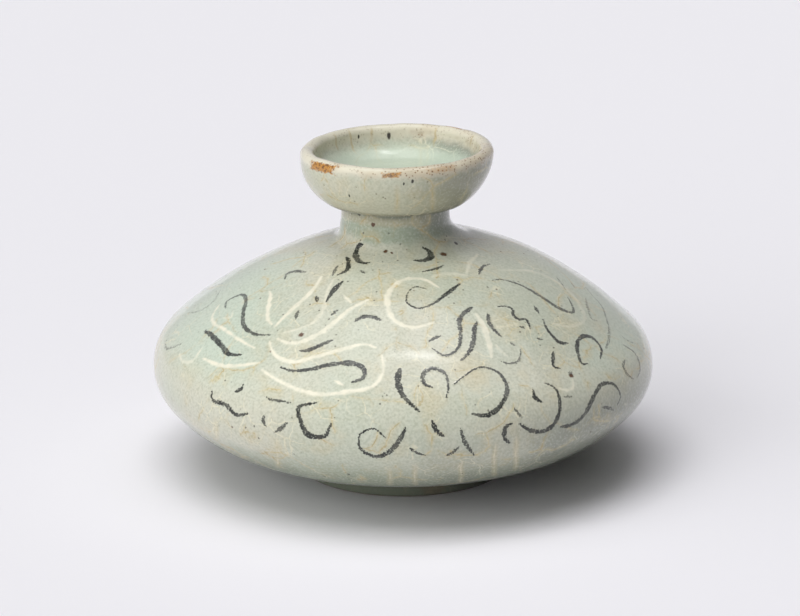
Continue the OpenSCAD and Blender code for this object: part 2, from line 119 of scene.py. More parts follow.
RIGHT_SPRAY_BLACK = [
    [0.7, [[9.3, 30], [5, 30.7], [1.2, 29.4], [0.3, 26.9], [4.5, 25.3], [10, 26.1], [18, 28.6],
        [26.5, 30.7]], 1, 0.8],
    [0.6, [[40, 32], [43, 32.8], [48, 33.6], [54, 33.6]], 0.9, 0.35],
    [0.8, [[43, 29.8], [48, 29.4], [53.5, 27.1], [56.5, 23.4], [59, 19.6], [63.5, 17.7],
        [69, 20.4]], 0.85, 0.6],
    [0.8, [[25, 24.6], [21, 23.5], [18.3, 21.8], [17.6, 19.2], [15.6, 16.2], [11.5, 14.8],
        [8.2, 16.3]], 1, 0.18],
    [0.6, [[7.4, 17.8], [9, 18.4], [11.2, 18.9]], 0.9],
    [0.9, [[24.3, 21.2], [22.7, 20], [20.8, 17.4], [18.4, 15.2], [15.5, 13.6]], 1, 0.4],
    [0.8, [[29.5, 22.6], [28.3, 20.4], [29.9, 17.3]], 1, 0.35],
    [0.5, [[31.6, 15.9], [32.2, 15.5], [32.8, 15.1]], 0.8],
    [0.5, [[26.6, 12.5], [28.5, 11.9], [31.5, 12.1], [33.8, 14.3]], 0.75, 0.35],
    [0.6, [[34.8, 23.8], [38.2, 23.5], [39.8, 22.5], [38.5, 21.4], [39.5, 20.1], [41.5, 19.9], [42, 19.2],
        [40.8, 17.6]], 1, 0.55],
    [0.5, [[38, 18.7], [38.8, 18.3], [39.7, 18.2]], 0.9],
    [0.4, [[40.7, 15.6], [41.6, 15.3], [42.5, 15]], 0.8],
    [0.7, [[49.4, 21.9], [49.1, 21], [48.7, 20.2]]],
    [0.8, [[48.2, 18.8], [46.6, 16.4], [47.4, 13.7], [50.3, 12.9]], 1, 0.65],
    [0.7, [[43.3, 12.3], [41.4, 10.6], [40.7, 9.6], [42.4, 8.9]], 1, 0.4],
    [0.8, [[51.5, 8.2], [49.6, 8.8], [52.5, 11.9], [57, 13], [60.7, 12], [60.4, 9.6], [57, 8.2]], 1, 0.45],
    [0.6, [[62, 9.2], [65.8, 10], [71.5, 11.5], [75.5, 12.9], [81.5, 14.9], [84, 16.9],
        [88, 18.6]], 0.55, 0.25],
    [0.7, [[69.8, 14], [68.2, 14.6], [69, 15.5], [73.5, 17], [78, 17.9]], 0.5, 0.6],
    [0.6, [[73, 21.6], [75.5, 23], [78.5, 24.3]], 0.5],
    [0.6, [[79.5, 20.6], [81.2, 21.2], [82.8, 22]], 0.45],
    [0.5, [[74, 9], [75, 7.5], [78, 6]], 0.4],
    [0.7, [[66, 5.8], [63.2, 5.2], [62.9, 3.6], [65, 2.3]], 0.65],
    [0.7, [[67.2, 2.2], [70.5, 3.1], [72.4, 5.6], [70.3, 8.2]], 0.6],
]
RIGHT_SPRAY_WHITE = [
    [1, [[15.2, 30.3], [10.3, 32.5], [1.5, 32.9], [-5, 31.2], [-7.7, 28.3], [-6, 24.5], [-2.5, 22],
        [3, 20.9], [9.5, 21.9]]],
    [1, [[14, 33.2], [20, 33.6], [26, 33.4], [33, 32.4]], 0.55],
    [0.8, [[34, 33], [38, 34.1], [42.3, 35.3], [50, 36.2], [58, 36.8]], 0.6],
    [1.1, [[25.3, 23], [25.9, 20.2], [25.3, 16.8], [24.2, 13.6]]],
    [0.7, [[27, 16], [27.6, 14.6], [29, 13.4]], 0.6],
    [0.9, [[55, 31.4], [63, 30], [71, 28], [74.3, 24], [72.2, 19.4], [65, 15.6], [56, 15.6], [51, 17.3]], 0.45],
    [0.7, [[38.6, 5.6], [40.3, 5], [42.5, 5.1], [43.6, 6.5]], 0.7],
]
SCROLL_BLACK = [
    [0.8, [[-48.3, 3.6], [-47.4, 2.1], [-43, 2], [-39.8, 0.9], [-36.4, 1.6]], 1, 0.55],
    [0.7, [[-39.9, 6.1], [-40, 5.2], [-41.3, 4.6]], 0.95, 0.6],
    [0.7, [[-32, 1.9], [-32.3, 0.9], [-31.3, 0]], 0.85],
    [0.7, [[-29.5, -0.7], [-28, 0], [-26.2, 1.3]], 0.9, 0.6],
    [0.5, [[-33, 4.9], [-31, 4.6], [-27.8, 4.6], [-26, 4.6]], 0.85],
    [0.9, [[-20, 5.2], [-22.5, 4.6], [-24, 3.9], [-23, 1.9], [-21.5, 0], [-19.2, -0.4], [-17, 0.1],
        [-15.8, 2.2]], 1, 0.55],
    [1.1, [[-0.8, 12.5], [-1.1, 9.8], [0.4, 7], [3.5, 4.6]], 1, 0.3],
    [0.7, [[7.3, 8.8], [5.2, 9.6], [5.4, 11.6], [8, 12.4], [10.8, 11.2], [11, 8.8], [10, 6.6]], 1, 0.3],
    [0.8, [[12.3, 9], [15, 10.3], [20, 11.9], [24.4, 10.6], [25.4, 7.6], [22.5, 4.6], [18.8, 3.2],
        [15.3, 3.7]], 1, 0.75],
    [0.9, [[-3.9, 0.3], [-6.5, 1.7], [-9.4, 0.5], [-9.2, -2], [-6, -3.3], [-3, -2.2], [-0.8, 0],
        [0.5, 1.9]], 1, 0.78],
    [0.5, [[1.2, -1.4], [2.5, -2.2], [4.8, -3]], 0.95, 0.4],
    [0.8, [[6.3, 3], [7.2, 1.3], [8.7, 0.4]]],
    [0.6, [[9.2, -3.2], [10.8, -2.7], [12.2, -1.5]], 0.9],
    [0.7, [[12.5, 1.4], [13.4, -0.9], [15.8, -3.6]], 0.95, 0.35],
    [0.5, [[25.4, 3.8], [26.1, 2.9], [26.8, 2.1]], 0.8, 0.4],
    [0.8, [[26, 1.2], [29, -0.3], [32, -0.8], [34.8, -0.1], [37, 2.4], [37.6, 5.6], [35.4, 7.2]], 1, 0.4],
    [0.8, [[36.6, -0.7], [40, -0.9], [43.5, 0], [48, 2.8], [52, 4.1], [56, 3.2], [57.4, 0.9],
        [56, -0.3]], 0.95, 0.35],
    [0.6, [[50, 0.4], [52, 0], [54.6, -1]], 0.8],
    [0.8, [[23.8, -2], [22.5, -0.8], [22.6, 0.8], [24.2, 1.4]]],
    [0.7, [[31.6, 6.4], [31.3, 5], [32.8, 4]], 1, 0.6],
    [0.5, [[38.9, 4], [40, 3.9], [41.2, 3.8]], 0.6],
    [0.7, [[43.4, 7.6], [44.2, 7.7], [45, 8]], 0.6],
]
COLLAR_BLACK = [
    [1, [[-37.5, 41.5], [-41.5, 40.9], [-40.5, 39.2], [-33, 37.2], [-27, 36.6], [-24, 37]], 1, 0.3],
    [0.9, [[20.5, 41.3], [23.6, 40.4], [20.5, 38.8], [14, 38], [7.5, 38.2]]],
    [0.5, [[10, 34.7], [17.5, 35.2], [25, 36]], 1, 0.6],
]


class Arc:
    """An arc of the half section, with its angles in degrees."""

    def __init__(self, centre, radius):
        self.centre, self.radius = Vector(centre), radius

    def at(self, angle, lift=0):
        turn = math.radians(angle)
        return self.centre + (self.radius + lift) * Vector((math.cos(turn), math.sin(turn)))

    def along(self, start, end, lift=0):
        """Points from one angle to another, both included."""
        count = max(2, round(abs(math.radians(end - start)) * self.radius / ARC_STEP))
        return [self.at(start + (end - start) * i / count, lift) for i in range(count + 1)]


def angle_of(a, b):
    """Angle of the way from point a to point b."""
    return math.degrees(math.atan2(b.y - a.y, b.x - a.x))


def body_arcs():
    """The arcs of the body's wall, each running smoothly into the next, and the angles where they meet."""
    edge = Arc((BODY_R - EDGE_ARC, WIDEST_Z), EDGE_ARC)
    rise, run = WIDEST_Z - FOOT_H, edge.centre.x - FLAT_R
    belly_r = (rise**2 + run**2 - EDGE_ARC**2) / (2 * (rise - EDGE_ARC))
    belly = Arc((FLAT_R, FOOT_H + belly_r), belly_r)
    crown, reach = SHOULDER_Z - WIDEST_Z, edge.centre.x + SHOULDER_PAST
    balance = reach**2 + crown**2 - SHOULDER_PAST**2 - EDGE_ARC**2
    spread = crown**2 - EDGE_ARC**2
    root = (crown * balance) ** 2 - spread * (balance**2 - (2 * EDGE_ARC * SHOULDER_PAST) ** 2)
    drop = (crown * balance + math.sqrt(root)) / (2 * spread)
    shoulder = Arc((-SHOULDER_PAST, SHOULDER_Z - drop), math.hypot(SHOULDER_PAST, drop))
    out = NECK_R + NECK_HOLLOW
    top = math.sqrt((shoulder.radius + NECK_HOLLOW) ** 2 - (out + SHOULDER_PAST) ** 2)
    hollow = Arc((out, shoulder.centre.y + top), NECK_HOLLOW)
    return belly, edge, shoulder, hollow


BELLY, EDGE, SHOULDER, HOLLOW = body_arcs()
BELLY_END = angle_of(BELLY.centre, EDGE.centre)
SHOULDER_START = angle_of(SHOULDER.centre, EDGE.centre)
SHOULDER_END = angle_of(SHOULDER.centre, HOLLOW.centre)
NECK_Z = HOLLOW.centre.y
DISH_Z = NECK_Z + NECK_H
EDGE_UP = EDGE_ARC * math.radians(SHOULDER_START)
EDGE_DOWN = -EDGE_ARC * math.radians(BELLY_END)
WALL_UP = EDGE_UP + SHOULDER.radius * math.radians(SHOULDER_END - SHOULDER_START)
WALL_DOWN = EDGE_DOWN + BELLY.radius * math.radians(90 + BELLY_END)


def wall_at(height, lift=0):
    """Point (radius, height) of the body's outer wall at a height of the slip drawing."""
    up, down = height * WALL_UP / DRAWN_UP, height * WALL_DOWN / DRAWN_DOWN
    if height > DRAWN_UP:
        return HOLLOW.at(180 + SHOULDER_END * (1 - (height - DRAWN_UP) / DRAWN_HOLLOW), -lift)
    if up > EDGE_UP:
        return SHOULDER.at(SHOULDER_START + math.degrees((up - EDGE_UP) / SHOULDER.radius), lift)
    if down < -EDGE_DOWN:
        return BELLY.at(BELLY_END + math.degrees((down + EDGE_DOWN) / BELLY.radius), lift)
    return EDGE.at(math.degrees((up if height > 0 else down) / EDGE_ARC), lift)


def on_wall(spot, lift=0):
    """Point of the wall at (degrees round from the front, height of the drawing)."""
    p, turn = wall_at(spot.y, lift), math.radians(spot.x)
    return Vector((p.x * math.sin(turn), -p.x * math.cos(turn), p.y))


def ease(t):
    """Smooth step from 0 to 1."""
    t = min(max(t, 0), 1)
    return t * t * (3 - 2 * t)


def drift(height):
    """How far to the right the thrown shape has strayed at a height."""
    for (low, a), (high, b) in zip(DRIFT, DRIFT[1:]):
        if height < high:
            return a + (b - a) * ease((height - low) / (high - low))
    return DRIFT[-1][1]


def handmade(p):
    """Where a point of the true shape sits on the bottle as it was thrown: the mouth set off and leaning."""
    tilt = TILT * ease((p.z - TILT_FROM) / (TILT_TO - TILT_FROM))
    grounded = ease(p.z / FOOT_H)
    strayed = p + Vector((drift(p.z), 0, tilt * p.x))
    lip = LIP_WOBBLE * ease((p.z - LIP_WOBBLE_FROM) / (LIP_WOBBLE_TO - LIP_WOBBLE_FROM))
    strayed += lip * noise.noise_vector(p / LIP_WOBBLE_SIZE)
    return strayed + WOBBLE * grounded * noise.noise_vector(p / WOBBLE_SIZE)


# Outlines of the thrown pieces

def straight(a, b, count):
    """Points that part the way between two points into so many steps, without the last."""
    return [a.lerp(b, i / count) for i in range(count)]


def body_outline():
    """From the cavity's floor up through the throat, over the seat of the neck and down the outside."""
    top = math.degrees(math.acos((THROAT_R + SHOULDER_PAST) / (SHOULDER.radius - WALL)))
    inside = BELLY.along(-90, BELLY_END, -WALL) + EDGE.along(BELLY_END, SHOULDER_START, -WALL)[1:]
    inside += SHOULDER.along(SHOULDER_START, top, -WALL)[1:]
    outside = HOLLOW.along(180, 180 + SHOULDER_END) + SHOULDER.along(SHOULDER_END, SHOULDER_START)[1:]
    outside += EDGE.along(SHOULDER_START, BELLY_END)[1:] + BELLY.along(BELLY_END, -90)[1:]
    throat_top = Vector((THROAT_R, NECK_Z))
    points = straight(Vector((0, FOOT_H + WALL)), inside[0], 12) + inside
    points += straight(inside[-1], throat_top, 8)[1:] + straight(throat_top, outside[0], 4) + outside
    return points + straight(outside[-1], Vector((0, FOOT_H)), 16)[1:] + [Vector((0, FOOT_H))]


def neck_outline():
    """Round the section of the collar, from its inner corner at the shoulder."""
    low_in, low_out = Vector((THROAT_R, NECK_Z)), Vector((NECK_R, NECK_Z))
    high_in, high_out = Vector((THROAT_R, DISH_Z)), Vector((NECK_R, DISH_Z))
    return (straight(low_in, low_out, 4) + straight(low_out, high_out, 6)
            + straight(high_out, high_in, 4) + straight(high_in, low_in, 6))


def dish_outline():
    """From the throat's foot out under the dish, up its side, over the lip and down a bowl to the throat."""
    rim_z, floor_z = DISH_Z + DISH_RISE, DISH_Z + DISH_FLOOR
    side = Arc((RIM_R - DISH_ARC, rim_z), DISH_ARC)
    lip = Arc((RIM_R - DISH_WALL / 2, rim_z), DISH_WALL / 2)
    above = Arc((RIM_R - DISH_WALL - BOWL_TOP, rim_z), BOWL_TOP)
    start, turn = above.at(-BOWL_TURN), math.radians(BOWL_TURN)
    end = start - BOWL_STRAIGHT * Vector((math.sin(turn), math.cos(turn)))
    round_off = (end.y - floor_z) / (1 - math.sin(turn))
    below = Arc((end.x - round_off * math.cos(turn), floor_z + round_off), round_off)
    outside = side.along(-math.degrees(math.asin(DISH_RISE / DISH_ARC)), 0)
    inside = above.along(0, -BOWL_TURN) + straight(start, end, 3)[1:] + below.along(-BOWL_TURN, -90)
    over = [lip.at(LIP_STEP * i) for i in range(1, round(180 / LIP_STEP))]
    low, high = Vector((THROAT_R, DISH_Z)), Vector((THROAT_R, floor_z))
    return (straight(low, outside[0], 6) + outside + over + inside
            + straight(inside[-1], high, 8)[1:] + straight(high, low, 4))


def foot_outline():
    """Round the section of the foot, from its outer corner under the body."""
    inner = FOOT_R - FOOT_W
    near = Arc((inner + FOOT_ROUND, FOOT_ROUND), FOOT_ROUND)
    far = Arc((FOOT_R - FOOT_ROUND, FOOT_ROUND), FOOT_ROUND)
    top_in, top_out = Vector((inner, FOOT_H)), Vector((FOOT_R, FOOT_H))
    near_points = [near.at(180 + LIP_STEP * i) for i in range(round(90 / LIP_STEP) + 1)]
    far_points = [far.at(270 + LIP_STEP * i) for i in range(round(90 / LIP_STEP) + 1)]
    return (straight(top_out, top_in, 4) + straight(top_in, near_points[0], 6) + near_points
            + far_points + straight(far_points[-1], top_out, 6)[1:])


def thrown(outline, closed, start=None):
    """Mesh of a piece turned on the wheel: its half section spun round the axis. Where a start on the outline
    is given, each point keeps how far along the outline it lies before the start."""
    bm = bmesh.new()
    lip = bm.verts.layers.float.new("lip")
    points = [bm.verts.new((p.x, 0, p.y)) for p in outline]
    if start:
        runs = [0]
        for a, b in zip(outline, outline[1:]):
            runs.append(runs[-1] + (b - a).length)
        zero = runs[min(range(len(outline)), key=lambda i: (outline[i] - start).length)]
        for v, run in zip(points, runs):
            v[lip] = zero - run
    edges = [bm.edges.new(pair) for pair in zip(points, points[1:])]
    if closed:
        edges.append(bm.edges.new((points[-1], points[0])))
    bmesh.ops.spin(bm, geom=points + edges, cent=(0, 0, 0), axis=(0, 0, 1), angle=math.tau,
                   steps=TURNS, use_merge=True)
    bmesh.ops.remove_doubles(bm, verts=bm.verts, dist=WELD)
    return bm


def make_piece(bm, name, node, material):
    """Turn a mesh of the true shape into a piece of the bottle."""
    for v in bm.verts:
        v.co = handmade(v.co)
    bmesh.ops.recalc_face_normals(bm, faces=bm.faces)
    for face in bm.faces:
        face.smooth = True
    for edge in bm.edges:
        edge.smooth = edge.calc_face_angle(0) < CREASE
    bmesh.ops.scale(bm, vec=(MM, MM, MM), verts=bm.verts)
    mesh = bpy.data.meshes.new(name)
    bm.to_mesh(mesh)
    bm.free()
    mesh.materials.append(material)
    piece = bpy.data.objects.new(name, mesh)
    bpy.context.scene.collection.objects.link(piece)
    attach(piece, "root")
    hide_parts(node)


# Brushed lines of slip

def between(a, b, c, d, t):
    """Point of a smooth curve on its way from b to c, with a before and d after them."""
    return b + (c - a) * t / 2 + (2 * a - 5 * b + 4 * c - d) * t**2 / 2 + (3 * b - a - 3 * c + d) * t**3 / 2


class Stroke:
    """A line drawn on the unrolled wall, and what the brush leaves along it."""

    def __init__(self, brush, weight, points, ink=1, heavy=0.5):
        self.tip, self.full = brush
        self.weight, self.ink = weight, ink
        self.lean = math.log(0.5) / math.log(heavy)
        p = [Vector(q) for q in points]
        p = [p[0], *p, p[-1]]
        self.spots = [between(*p[i:i + 4], k / CURVE_STEPS)
                      for i in range(len(p) - 3) for k in range(CURVE_STEPS)]
        self.spots.append(p[-1])
        self.runs = [0]
        for a, b in zip(self.spots, self.spots[1:]):
            self.runs.append(self.runs[-1] + (on_wall(b) - on_wall(a)).length)
        self.length = self.runs[-1]
        self.reach = self.half_width(0) + SLIP_MARGIN

    def half_width(self, run):
        """Half the width of the pigment, which swells from both tips and shakes with the hand."""
        full = math.sin(math.pi * min(max(run / self.length, 0), 1) ** self.lean)
        shake = 1 + BRUSH_SHAKE * noise.noise((run, self.length, self.spots[0].x)) * full
        return self.weight / 2 * (self.tip + (self.full - self.tip) * max(full, 0) ** BRUSH_SWELL) * shake

    def spot(self, run, across):
        """Place on the unrolled wall, so far along the line and to its side, in millimetres."""
        i = 0
        while i < len(self.runs) - 2 and self.runs[i + 1] < run:
            i += 1
        a, b = self.spots[i], self.spots[i + 1]
        middle = a + (b - a) * (run - self.runs[i]) / (self.runs[i + 1] - self.runs[i])
        degrees = math.degrees(1 / wall_at(middle.y).x)
        way = Vector(((b.x - a.x) / degrees, b.y - a.y)).normalized()
        return middle + across * Vector((-way.y * degrees, way.x))

    def lay(self, bm, turn):
        """Add the stroke to a mesh as a thin lens with its foot in the wall, closed at both ends."""
        edge, ink = bm.verts.layers.float["edge"], bm.verts.layers.float["ink"]
        rows = max(LINE_ROWS, round((self.length + 2 * self.reach) / LINE_STEP))
        for v in bmesh.ops.create_grid(bm, x_segments=rows, y_segments=LENS_SIDES, size=1)["verts"]:
            run = (v.co.x + 1) / 2 * (self.length + 2 * self.reach) - self.reach
            past = max(-run, run - self.length, 0)
            half = self.half_width(run)
            wide = math.sqrt(max(self.reach**2 - past**2, 0)) if past else half + SLIP_MARGIN
            over = abs(v.co.y) < LENS_FOOT
            side = min(max(v.co.y / LENS_TOP, -1), 1) if over else 0
            full = min(wide / self.reach, 1)
            lift = full * SLIP_LIFT * (1 - side**2) - SLIP_DIP if over else -SLIP_DIP - full * SLIP_SINK
            v[edge] = half - math.hypot(past, side * wide)
            v[ink] = self.ink
            v.co = turn @ on_wall(self.spot(run, side * wide), lift)


def brushed(lines, brush, turn):
    """Mesh of all strokes that a brush lays for one motif, turned round the axis by so many degrees."""
    bm = bmesh.new()
    bm.verts.layers.float.new("edge")
    bm.verts.layers.float.new("ink")
    for line in lines:
        Stroke(brush, *line).lay(bm, Matrix.Rotation(math.radians(turn), 3, "Z"))
    bmesh.ops.remove_doubles(bm, verts=bm.verts, dist=SLIP_WELD)
    return bm


# Materials, as expressions on the place on the bottle in millimetres

UP, RIGHT = (0, 0, 1), (1, 0, 0)
# Solid share of a dot's and of a spot's radius, and how softly the cells that keep a dot are chosen
DOT_CORE, SPOT_CORE, DOT_SOFT = 0.4, 0.5, 0.05
# How far out on its own side of the bottle a mark begins to show and shows in full
OWN_SIDE = (0, 3)
# Shine of what lies under the glaze, and roughness of the glaze's face
CLAY_SPECULAR, COAT_ROUGHNESS = 0.1, 0.1


class Socket:
    """An output of a material's nodes that takes part in Python expressions."""

    def __init__(self, tree, out):
        self.tree, self.out = tree, out

    def node(self, kind, inputs, out=0, **settings):
        """Another node of the same material: its settings first, then the values or links of its inputs."""
        made = self.tree.nodes.new("ShaderNode" + kind)
        for name, value in settings.items():
            setattr(made, name, value)
        for key, value in inputs.items():
            if isinstance(value, Socket):
                self.tree.links.new(value.out, made.inputs[key])
            else:
                made.inputs[key].default_value = value
        return Socket(self.tree, made.outputs[out])

    def other(self, out):
        """Another output of the same node."""
        return Socket(self.tree, self.out.node.outputs[out])

    def math(self, operation, *others):
        return self.node("Math", dict(enumerate((self, *others))), operation=operation)

    def vector(self, operation, *others, out=0):
        return self.node("VectorMath", dict(enumerate((self, *others))), out, operation=operation)

    def __add__(self, other):
        return self.math("ADD", other)

    def __sub__(self, other):
        return self.math("SUBTRACT", other)

    def __rsub__(self, other):
        return self.node("Math", {0: other, 1: self}, operation="SUBTRACT")

    def __mul__(self, other):
        return self.math("MULTIPLY", other)

    __radd__, __rmul__ = __add__, __mul__

    def __abs__(self):
        return self.math("ABSOLUTE")

    def both(self, other):
        return self.math("MINIMUM", other)

    def either(self, other):
        return self.math("MAXIMUM", other)

    def step(self, low, high):
        """Smooth step from 0 at low to 1 at high, which may be the lower value."""
        return self.node("MapRange", {"Value": self, "From Min": low, "From Max": high},
                         interpolation_type="SMOOTHSTEP")

    def band(self, low, full, full_to, high):
        """1 from full to full_to, with smooth steps down to 0 at low and at high."""
        return self.step(low, full).both(self.step(high, full_to))

    def mix(self, a, b):
        """Colour a where this mask is 0 and b where it is 1."""
        return self.node("Mix", {0: self, 6: a, 7: b}, 2, data_type="RGBA")

    def cloud(self, size, detail=2, roughness=0.5):
        """Soft noise with features of about this size, from 0 to 1."""
        settings = {"Vector": self, "Scale": 1 / size, "Detail": detail, "Roughness": roughness}
        return self.node("TexNoise", settings)

    def cells(self, size, feature):
        """A measure of the place in a net of uneven cells of about this size."""
        return self.node("TexVoronoi", {"Vector": self, "Scale": 1 / size}, feature=feature)

    def strayed(self, size, far):
        """The place moved about by noise, so that a pattern on it runs unevenly."""
        shake = self.cloud(size).other("Color").vector("SUBTRACT", (0.5, 0.5, 0.5))
        return self.vector("ADD", shake.node("VectorMath", {0: shake, "Scale": far}, operation="SCALE"))

    def far_from(self, spot):
        """Distance from a point."""
        return self.vector("DISTANCE", tuple(spot), out="Value")

    def along(self, way):
        """How far the place lies along a direction."""
        return self.vector("DOT_PRODUCT", tuple(way), out="Value")

    def faces(self, way):
        """1 on the side of the bottle that a direction points to."""
        return self.along(way).step(*OWN_SIDE)

    def dots(self, size, radius, share):
        """Dots of a radius, one in each cell of a size, of which a share is kept."""
        cell, reach = self.cells(size, "F1"), radius / size
        kept = cell.other("Color").step(1 - share, 1 - share + DOT_SOFT)
        return cell.step(reach, reach * DOT_CORE) * kept

    def attribute(self, name):
        """A measure that the points of a mesh carry."""
        return self.node("Attribute", {}, "Fac", attribute_name=name)


def layered(colour, *coats):
    """A colour under thin coats, each given as a mask, how much of it covers, and its own colour."""
    for mask, share, tint in coats:
        colour = (mask * share).mix(colour, tint)
    return colour


def paint(red, green, blue):
    """A solid colour."""
    return red, green, blue, 1


# Glaze, by its depth, then painted shade: on the right side, low on the belly, and with the dark seam under the dish
GREY_GREEN, GREY_CREAM, MIST = paint(0.485, 0.513, 0.41), paint(0.54, 0.54, 0.44), paint(0.53, 0.56, 0.47)
MINT, RIGHT_SHADE, SEA = paint(0.5, 0.58, 0.485), paint(0.21, 0.23, 0.185), paint(0.5, 0.585, 0.475)
POOLED, SHADED, SEAM_SHADE = paint(0.27, 0.345, 0.25), paint(0.25, 0.295, 0.205), paint(0.13, 0.13, 0.09)
# Stains, grain and cracks
# The darkest fleck colour also serves as painted shade on the right side of the foot
STRAW, OCHRE, FLECK_AND_SHADE = paint(0.55, 0.48, 0.3), paint(0.5, 0.38, 0.16), paint(0.05, 0.045, 0.035)
MOSS, PALE, BROWN = paint(0.26, 0.27, 0.17), paint(0.68, 0.68, 0.56), paint(0.1, 0.05, 0.025)
CRACK, CRACK_BROWN, RIDGE = paint(0.55, 0.47, 0.26), paint(0.35, 0.25, 0.1), paint(0.72, 0.68, 0.5)
# Lip, foot and slip
CREAM, BISCUIT, TAN = paint(0.69, 0.65, 0.52), paint(0.5, 0.4, 0.26), paint(0.2, 0.11, 0.05)
RUST, RUST_DARK = paint(0.5, 0.24, 0.05), paint(0.16, 0.07, 0.02)
# The foot's dark green is glaze pooled in its corner, with painted shade under the belly
FOOT_POOL_AND_SHADE, CLAY = paint(0.15, 0.165, 0.125), paint(0.2, 0.12, 0.065)
BLACK_INK, WHITE_INK = paint(0.016, 0.018, 0.016), paint(0.76, 0.73, 0.59)

# Heights between which the glaze changes: the mint of the shoulder, the pool round the neck, the thin ring above
# it, the dark seam with painted shade under the dish, the painted shade of the lower belly, and the painted shade
# of the right side low and high up
MINT_RISE, POOL_RISE, POOL_END = (21, 27), (41.4, 43.2), (47.9, 47.5)
RING_BAND, SEAM_SHADE_RISE, SEAM_SHADE_END = (44.6, 45.4, 46.2, 46.8), (45.9, 46.9), (48.5, 47.9)
SHADE_FALL, RIGHT_SHADE_LOW, RIGHT_SHADE_HIGH = (15, 7.5), (24, 16), (42, 45)
# Millimetres along the dish's outline from the top of its lip, below 0 inside: the side, the inside, the cream of
# the lip and the brown line within it
DISH_SIDE, DISH_INSIDE, LIP_CREAM, LIP_LINE = (1, 4), (-3, -6), (-4, -2, 1.4, 3), (-2.9, -2.2, -1.9, -1.3)
# Crackle: sizes of the fields between cracks and between ridges, and where a line ends and is full, as shares of
# its field. For stained runs these are in millimetres.
CRACK_FIELD, RIDGE_FIELD = 8, 4.5
CRACK_LINE, CRACK_HALO, RIDGE_LINE = (0.014, 0.005), (0.09, 0), (0.024, 0.01)
RUN_LINE, RUN_HALO = (0.2, 0.06), (0.8, 0.1)
# Where a stain is deep enough for flecks and ridges
STAIN_CORE = (0.1, 0.5)


def ways(degrees):
    """Directions at so many degrees round from the front: along the wall to the right, and outwards."""
    turn = math.radians(degrees)
    return Vector((math.cos(turn), math.sin(turn), 0)), Vector((math.sin(turn), -math.cos(turn), 0))


def wall_spot(degrees, height):
    """Place on the body's wall as it was thrown, at a height of the slip drawing."""
    return handmade(on_wall(Vector((degrees, height))))


def ring_spot(degrees, radius, height):
    """Place on a ring round the bottle as it was thrown."""
    return handmade(radius * ways(degrees)[1] + Vector((0, 0, height)))


def lip_spot(degrees):
    """Place on the side of the lip."""
    return ring_spot(degrees, RIM_R, DISH_Z + DISH_RISE)


# Spots burnt into the glaze: place, radius and colour
SPOTS = (
    (wall_spot(-32, 17.6), 0.65, BROWN), (wall_spot(-5.2, 31.1), 0.8, OCHRE), (wall_spot(33, 39.2), 0.75, BROWN),
    (wall_spot(44, 7.2), 0.55, BROWN), (wall_spot(-13.4, -9.3), 0.3, FLECK_AND_SHADE), (wall_spot(-20.7, -11.5), 0.25, FLECK_AND_SHADE),
    (wall_spot(-14.2, 40.6), 0.5, BROWN), (wall_spot(-9, 40.4), 0.3, BROWN), (wall_spot(57, 40.8), 0.5, FLECK_AND_SHADE),
    (ring_spot(-41, 9.3, 46.7), 0.5, FLECK_AND_SHADE), (ring_spot(-24, 9.3, 45.2), 0.5, BROWN),
    (ring_spot(5, 12.2, 47.9), 0.4, FLECK_AND_SHADE), (ring_spot(9, 12.2, 47.95), 0.55, FLECK_AND_SHADE),
    (ring_spot(13, 12.2, 48), 0.5, FLECK_AND_SHADE),
)
# Specks in the cream of the lip: degrees round, millimetres down its outside (inside if below 0) and radius
LIP_SPECKS = ((-174, -2.5, 0.45), (-152, -2.1, 0.25), (9, 2.8, 0.25), (4, 3.2, 0.2), (-31, 6, 0.25))
# Soft stains round some of the cracks: place and radius
STAINS = (
    (wall_spot(-5.2, 31.1), 3), (wall_spot(34, 19.4), 5), (wall_spot(56, 16.2), 5), (wall_spot(17, 12), 5),
    (wall_spot(6, 7.4), 4), (wall_spot(-40, 34), 4), (wall_spot(170, 28), 5), (wall_spot(-150, 14), 6),
)
# Stained cracks that run down the wall: degrees of the side that they face, millimetres to the right of its
# middle, and the heights between which they show
RUNS = (
    (0, -31, 12, 19), (0, -20.7, 9, 18), (0, -2.2, 7, 14), (0, 2, 7, 15), (0, 9.5, 7, 15), (0, 14.9, 8, 18),
    (0, 18.5, 9, 19), (90, -14, 8, 17), (90, 1, 7, 15), (90, 12, 8, 18), (180, -17, 9, 18), (180, -6, 7, 15),
    (180, 5, 8, 16), (180, 16, 8, 18), (270, -10, 8, 17), (270, 4, 7, 16), (270, 15, 8, 18),
    (0, -1, 48, 55), (0, 4.9, 48, 55.5), (90, 2, 48, 55), (180, -3, 48, 55), (270, 1, 48, 55),
)
# Drips of stain down the inside of the lip: degrees round and length
DRIPS = ((-142, 4.6), (-158, 2.6), (-129, 3.4), (156, 4), (118, 2.4))
# Chips in the glaze of the lip: degrees round, millimetres down its outside, half length, half height and depth
CHIPS = (
    (-51, 1.6, 3.2, 0.8, 1), (-3.5, 1.7, 1.5, 0.45, 0.8), (27, 1.3, 2.6, 0.6, 0.3), (141, 0.2, 1.6, 0.4, 0.8),
)


